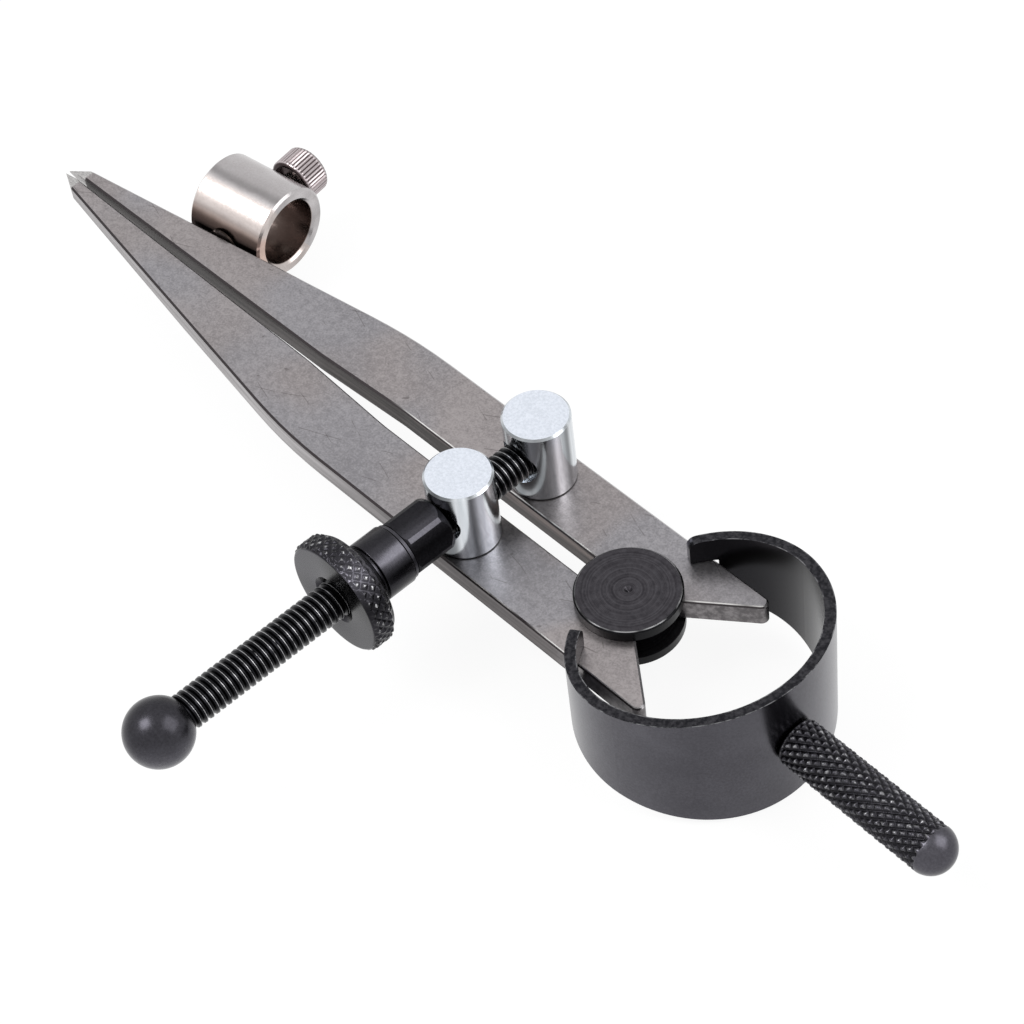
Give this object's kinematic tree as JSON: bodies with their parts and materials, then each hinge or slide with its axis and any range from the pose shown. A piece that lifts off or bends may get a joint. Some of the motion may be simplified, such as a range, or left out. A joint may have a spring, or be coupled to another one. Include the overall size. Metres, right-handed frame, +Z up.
{
  "type": "wing divider",
  "caption": "Wing divider with flat pointed steel legs, a bow spring with a round grip, a knurled nut on a cross screw, and a pencil collar on one leg.",
  "frame": {"origin": "centre of the bounding box in X and Y, at its lowest point in Z, with the legs nearly closed", "axes": "+X from the points toward the grip, along the legs; +Z up out of the legs' upper face; +Y toward the leg that carries the pencil collar"},
  "size_m": [0.2144, 0.1072, 0.0323],
  "materials": {
    "black_oxide_spring": "semi-gloss black oxide",
    "black_grip": "black oxide, diamond knurled",
    "black_oxide_small": "black oxide",
    "black_roller": "turned, dark",
    "leg_steel": "satin tumbled",
    "bright_zinc": "bright clear zinc plate",
    "spring_clip": "spring steel",
    "black_nut": "black oxide, turned and knurled",
    "black_screw": "black oxide thread",
    "black_ball": "smooth dark satin",
    "nickel": "satin nickel plate",
    "nickel_knurl": "nickel plate, straight knurl"
  },
  "bodies": {
    "bow_head": {"bow_spring": "black_oxide_spring", "grip_handle": "black_grip", "handle_screw": "black_oxide_small", "handle_lock_washer": "black_oxide_small", "pivot_roller": "black_roller"},
    "near_leg": {"near_leg": "leg_steel"},
    "far_leg": {"far_leg": "leg_steel", "collar_rivet": "nickel", "collar_spacer": "nickel"},
    "near_post": {"near_post": "bright_zinc", "near_post_clip": "spring_clip", "thrust_cap": "black_nut"},
    "nut": {"knurled_nut": "black_nut", "nut_snap_ring": "spring_clip"},
    "far_post": {"far_post": "bright_zinc", "far_post_clip": "spring_clip", "adjusting_screw": "black_screw", "screw_pin": "bright_zinc", "ball_end": "black_ball"},
    "collar": {"pencil_collar": "nickel"},
    "thumb_stem": {"thumb_screw_stem": "nickel"},
    "thumb_head": {"thumb_screw_head": "nickel_knurl"}
  },
  "joints": [
    {"name": "near_leg_opening", "type": "hinge", "parent": "bow_head", "child": "near_leg", "pos_m": [0.03911, 0.02198, 0.0129], "axis": [0, 0, 1], "range_deg": [0, 34.51]},
    {"name": "far_leg_opening", "type": "hinge", "parent": "bow_head", "child": "far_leg", "pos_m": [0.03911, 0.02198, 0.0129], "axis": [0, 0, 1], "range_deg": [-34.51, 0]},
    {"name": "near_post_swivel", "type": "hinge", "parent": "near_leg", "child": "near_post", "pos_m": [0.01061, 0.01363, 0.0129], "axis": [0, 0, 1], "range_deg": [-34.51, 0]},
    {"name": "far_post_swivel", "type": "hinge", "parent": "far_leg", "child": "far_post", "pos_m": [0.01061, 0.03033, 0.0129], "axis": [0, 0, 1], "range_deg": [0, 34.51]},
    {"name": "nut_spin", "type": "hinge", "parent": "near_post", "child": "nut", "pos_m": [0.01061, -0.00077, 0.02235], "axis": [0, -1, 0], "range_deg": [0, 8953.6]},
    {"name": "collar_swivel", "type": "hinge", "parent": "far_leg", "child": "collar", "pos_m": [-0.07185, 0.03001, 0.01322], "axis": [-0.1575, 0.9875, 0], "range_deg": [-40, 40]},
    {"name": "thumb_stem_travel", "type": "slide", "parent": "collar", "child": "thumb_stem", "axis": [0.1575, -0.9875, 0], "range_m": [-0.0041, 0.0008]},
    {"name": "thumb_head_turn", "type": "hinge", "parent": "thumb_stem", "child": "thumb_head", "pos_m": [-0.0747, 0.04783, 0.01322], "axis": [0.1575, -0.9875, 0], "range_deg": [-1846, 361]}
  ],
  "couplings": [
    {"joint": "near_leg_opening", "follows": "nut_spin", "ratio": 0.0038532},
    {"joint": "far_leg_opening", "follows": "nut_spin", "ratio": -0.0038532},
    {"joint": "near_post_swivel", "follows": "nut_spin", "ratio": -0.0038532},
    {"joint": "far_post_swivel", "follows": "nut_spin", "ratio": 0.0038532},
    {"joint": "thumb_head_turn", "follows": "thumb_stem_travel", "rad_per_m": 7854}
  ]
}
